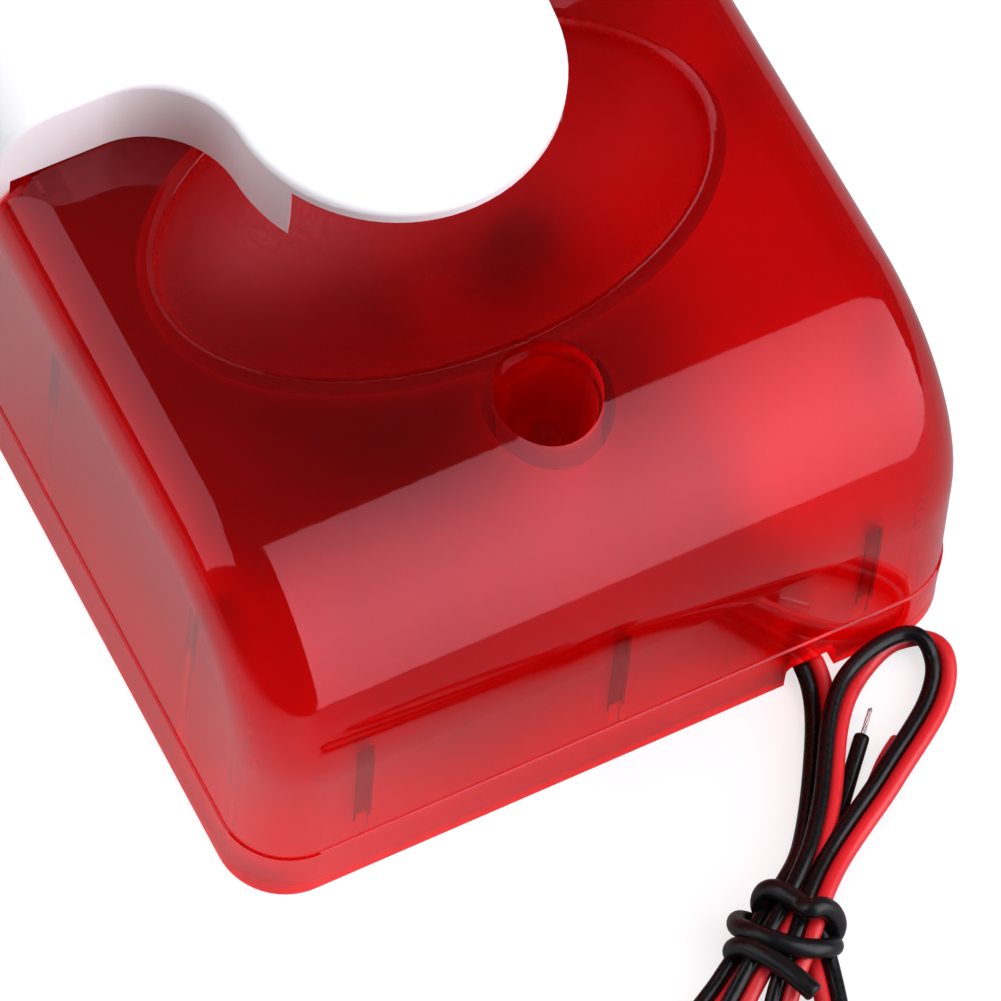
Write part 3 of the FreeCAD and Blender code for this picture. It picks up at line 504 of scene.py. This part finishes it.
# The lead's route: from the notch to the tie, round the left lower fold, up through the tie and round
# the upper fold, down again, round the right lower fold, and up to where its cores part.
EXIT = mm(20.5, -60.4, 1.6)
RUN_TO_TIE = [
    EXIT, mm(20.5, -61.9, 1.3), mm(19.9, -64.1, 0.9), mm(18.8, -66.5, 0.8), mm(17.2, -69.2, 0.8),
    mm(15.1, -72.5, 0.8), mm(12.8, -75.7, 1.1), mm(10.6, -78.3, 1.8), mm(7.6, -80.5, 2.75),
    hank(-1.5, 2.3, 2.75),
]
LEFT_FOLD = [
    mm(-0.7, -85.6, 2.6), mm(-2.4, -86.6, 2.1), hank(-13, 6.8, 1.2), hank(-19, 9.4, 0.8),
    hank(-25.5, 12.0, 0.8), hank(-30.5, 12.6, 1.0), hank(-33.0, 10.4, 1.5), hank(-32.6, 7.2, 1.6),
    hank(-28.5, 5.0, 1.4), hank(-22, 4.6, 0.9), hank(-15, 3.9, 1.6), hank(-10, 3.0, 2.8),
    mm(-0.1, -87.3, 3.8), mm(1.3, -86.4, 4.2),
]
UPPER_FOLD = [
    mm(6.0, -83.1, 4.3), mm(10.3, -79.6, 4), mm(12.5, -77.3, 3.4), mm(15.1, -74.1, 2.9),
    mm(17.2, -70.9, 2.6), mm(19.3, -67.6, 2.5), mm(21.6, -65.0, 2.2), mm(23.8, -63.4, 1.7),
    mm(26.6, -62.2, 1.5), mm(29.0, -61.8, 1.6), mm(31.0, -62.4, 1.65), mm(31.9, -63.9, 1.65),
    mm(31.8, -65.5, 1.4), mm(30.9, -67.2, 1.1), mm(29.0, -69.2, 1.1), mm(26.2, -71.2, 1.7),
    mm(22.9, -73.3, 2.2), mm(19.9, -75.3, 2.5), mm(16.8, -77.1, 2.8), mm(13.6, -79.1, 3.3),
    mm(11.3, -80.8, 3.9), mm(8.7, -83.1, 4.4),
]
RIGHT_FOLD = [
    hank(-1.5, -1.6, 4.4), mm(3.3, -88.4, 4.1), mm(1.6, -90.2, 3.4), hank(-13, -1.3, 1.8),
    hank(-19.5, -1.8, 0.8), hank(-26.5, -1.8, 0.8), hank(-31.5, -3.2, 1.2), hank(-33.4, -6.2, 1.6),
    hank(-32.0, -9.4, 1.6), hank(-27.0, -11.0, 1.6), hank(-20, -10.2, 1.5), hank(-13, -8.3, 1.6),
    hank(-7.5, -6.2, 1.9), mm(6.8, -89.4, 2.3), hank(0.5, -2.2, 2.7), hank(3.5, -1.4, 2.6),
    mm(9.6, -81.9, 2.0), mm(11.4, -80.2, 1.4),
]
ROUTE = RUN_TO_TIE + LEFT_FOLD + UPPER_FOLD + RIGHT_FOLD

# Half turns of the flat lead: near each place, how far the black core is turned under the lead from
# the left of its direction.
TURNS = [
    (EXIT, 1.0), (hank(-25.5, 12.0, 0.8), 1.0), (hank(-22, 4.6, 0.8), 2.0), (mm(9.9, -79.5, 4.0), 1.8),
    (mm(21.7, -64.7, 2.2), 1.78), (mm(29.4, -61.6, 1.2), 1.5), (mm(32.0, -65.4, 1.4), 1.05),
    (mm(26.2, -71.4, 1.7), 1.0), (hank(-27, -11, 1), 1.0), (mm(6.8, -89.4, 2.3), 1.0),
    (mm(10.6, -80.9, 2), 2.0),
]
BLACK_END = [
    mm(10.8, -79.7, 1.4), mm(12.6, -78.4, 0.9), mm(15.0, -76.1, 0.78), mm(17.5, -73.5, 0.78),
    mm(19.7, -71.1, 0.8), mm(21.7, -69.0, 0.9),
]
RED_END = [
    mm(11.7, -80.6, 1.4), mm(14.2, -79.5, 0.9), mm(17.5, -76.4, 0.78), mm(20.6, -73.6, 0.78),
    mm(22.7, -71.8, 0.78), mm(24.6, -70.7, 0.76),
]
TIP_LENGTH = 3.4 * MM
RED_TIP_LENGTH = 2.2 * MM
STRANDS = 7
STRAND_R = 0.07 * MM
STRAND_RING_R = 0.15 * MM
STRAND_TWIST = 2.6           # radians over the tip
STRAND_STEPS = 14
STRAND_INSET = 0.5 * MM
TIE = [
    mm(4.0, -91.7, 6.0), mm(3.4, -90.1, 6.2), mm(2.8, -88.5, 6.1), mm(1.9, -86.7, 5.9),
    mm(1.1, -85.0, 5.4), mm(0.3, -83.9, 4.3), mm(0.1, -83.7, 2.6), mm(1.0, -84.6, 1.2),
    mm(3.3, -85.9, 1.0), mm(6.2, -86.1, 1.0), mm(8.8, -86.1, 1.5), mm(9.8, -85.9, 3.4),
    mm(9.4, -85.1, 5.6), mm(8.3, -84.6, 6.9), mm(7.1, -84.7, 7.0), mm(7.0, -83.4, 6.2),
    mm(6.4, -82.2, 6.0), mm(5.8, -80.8, 5.5), mm(5.0, -80.2, 4.3), mm(4.5, -80.8, 2.6),
    mm(5.1, -82.2, 1.1), mm(6.5, -84.3, 1.0), mm(8.3, -86.5, 1.3), mm(8.9, -87.3, 3.2),
    mm(7.1, -87.9, 5.0), mm(4.6, -86.9, 5.9), mm(3.0, -85.4, 6.0), mm(2.0, -83.8, 5.4),
    mm(1.3, -82.2, 4.0), mm(2.3, -80.8, 2.2), mm(3.9, -81.6, 1.0), mm(5.5, -84.4, 1.0),
    mm(6.2, -86.8, 1.0), mm(6.4, -88.4, 1.1),
]


def smooth_line(name, points):
    """Points along the smooth curve that the route's points control."""
    data = bpy.data.curves.new(name, "CURVE")
    data.dimensions = "3D"
    data.resolution_u = 12
    spline = data.splines.new("NURBS")
    spline.points.add(len(points) - 1)
    for point, target in zip(spline.points, points):
        point.co = (*target, 1)
    spline.order_u = 3
    spline.use_endpoint_u = True
    holder = bpy.data.objects.new(name, data)
    mesh = bpy.data.meshes.new_from_object(holder)
    line = []
    for vertex in mesh.vertices:
        if not line or (vertex.co - line[-1]).length > SAME_PLACE:
            line.append(vertex.co.copy())
    bpy.data.objects.remove(holder)
    bpy.data.meshes.remove(mesh)
    return line


def directions(line):
    """The line's direction at each of its points."""
    last = len(line) - 1
    return [(line[min(i + 1, last)] - line[max(i - 1, 0)]).normalized() for i in range(last + 1)]


def turn_angles(line):
    """Turn of the flat lead at each point of the line, easing between the places in TURNS."""
    marks = []
    start = 0
    for place, half_turns in TURNS:
        near = min(range(start, len(line)), key=lambda i: (line[i] - place).length)
        marks.append((near, half_turns * math.pi))
        start = near
    angles = []
    for i in range(len(line)):
        before = max((m for m in marks if m[0] <= i), key=lambda m: m[0], default=marks[0])
        after = min((m for m in marks if m[0] > i), key=lambda m: m[0], default=marks[-1])
        span = max(after[0] - before[0], 1)
        t = min(1, max(0, (i - before[0]) / span))
        angles.append(before[1] + (after[1] - before[1]) * t * t * (3 - 2 * t))
    return angles


def add_ring_tube(bm, line, radius, normals, slot=0, sides=20):
    """Round tube along a line, its two ends slightly rounded over."""
    ways = directions(line)
    rings = []
    last = len(line) - 1
    spots = [(0, END_SCALE), (0, NEXT_SCALE)] + [(i, 1.0) for i in range(1, last)]
    spots += [(last, NEXT_SCALE), (last, END_SCALE)]
    shift = {1: END_REACH, len(spots) - 2: -END_REACH}
    for place, (i, scale) in enumerate(spots):
        way = ways[i]
        normal = (normals[i] - way * normals[i].dot(way)).normalized()
        across = way.cross(normal)
        centre = line[i] + way * radius * shift.get(place, 0.0)
        ring = []
        for k in range(sides):
            angle = 2 * math.pi * k / sides
            spoke = normal * math.cos(angle) + across * math.sin(angle)
            ring.append(bm.verts.new(centre + spoke * radius * scale))
        rings.append(ring)
    for a, b in zip(rings, rings[1:]):
        for k in range(sides):
            face = bm.faces.new((a[k], a[(k + 1) % sides], b[(k + 1) % sides], b[k]))
            face.material_index = slot
            face.smooth = True
    for ring in (list(reversed(rings[0])), rings[-1]):
        face = bm.faces.new(ring)
        face.material_index = slot


def carried_normals(line):
    """A sideways direction at each point, carried along without twist."""
    ways = directions(line)
    normal = ways[0].orthogonal().normalized()
    normals = []
    for way in ways:
        normal = (normal - way * normal.dot(way)).normalized()
        normals.append(normal)
    return normals


def finish_mesh(name, bm, materials):
    bmesh.ops.recalc_face_normals(bm, faces=bm.faces)
    mesh = bpy.data.meshes.new(name)
    bm.to_mesh(mesh)
    bm.free()
    for material in materials:
        mesh.materials.append(material)
    piece = bpy.data.objects.new(name, mesh)
    bpy.context.scene.collection.objects.link(piece)
    return piece


def add_twin_lead(materials):
    """The flat twin lead, one black and one red core side by side; returns the piece and its line."""
    line = smooth_line("lead_route", ROUTE)
    sides = []
    for way, angle in zip(directions(line), turn_angles(line)):
        level = Vector((0, 0, 1)).cross(way).normalized()
        sides.append(Matrix.Rotation(-angle, 3, way) @ level)
    bm = bmesh.new()
    add_ring_tube(bm, [p + n * CORE_R for p, n in zip(line, sides)], CORE_R, sides, 0)
    add_ring_tube(bm, [p - n * CORE_R for p, n in zip(line, sides)], CORE_R, sides, 1)
    piece = finish_mesh("twin_lead", bm, (materials["pvc_black"], materials["pvc_red"]))
    return piece, line


def add_core_end(name, points, material):
    line = smooth_line(name, points)
    bm = bmesh.new()
    add_ring_tube(bm, line, CORE_R, carried_normals(line))
    return finish_mesh(name, bm, (material,))


def add_core_tip(name, points, length, material):
    """Seven fine tinned strands, lightly twisted, that stand out of a core's end."""
    way = (points[-1] - points[-2]).normalized()
    side = way.orthogonal().normalized()
    across = way.cross(side)
    bm = bmesh.new()
    for k in range(STRANDS):
        out = 0 if k == 0 else STRAND_RING_R
        line = []
        for step in range(STRAND_STEPS + 1):
            run = step / STRAND_STEPS
            angle = 2 * math.pi * k / (STRANDS - 1) + STRAND_TWIST * run
            reach = length * (1 - 0.03 * (k % 3)) * run - STRAND_INSET
            spoke = side * math.cos(angle) + across * math.sin(angle)
            line.append(points[-1] + way * reach + spoke * out)
        add_ring_tube(bm, line, STRAND_R, carried_normals(line), 0, 8)
    return finish_mesh(name, bm, (material,))


def add_lead(materials):
    lead, line = add_twin_lead(materials)
    ends = [
        add_core_end("black_core", BLACK_END, materials["pvc_black"]),
        add_core_end("red_core", RED_END, materials["pvc_red"]),
    ]
    tips = [
        add_core_tip("black_core_strands", BLACK_END, TIP_LENGTH, materials["tinned_copper"]),
        add_core_tip("red_core_strands", RED_END, RED_TIP_LENGTH, materials["tinned_copper"]),
    ]
    tie_line = smooth_line("tie_route", TIE)
    bm = bmesh.new()
    add_ring_tube(bm, tie_line, TIE_R, carried_normals(tie_line))
    tie = finish_mesh("tie_wire", bm, (materials["tie_black"],))
    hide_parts("supply_cable", "cable_hank")
    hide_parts("black_core_end")
    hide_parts("red_core_end")
    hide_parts("black_core_tip")
    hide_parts("red_core_tip")
    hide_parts("hank_tie")
    for piece in [lead, tie] + ends + tips:
        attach(piece, "base")


add_camera()
add_stage()
add_lights()
MATERIALS = make_materials()
dress_cad_nodes(MATERIALS)
add_lead(MATERIALS)
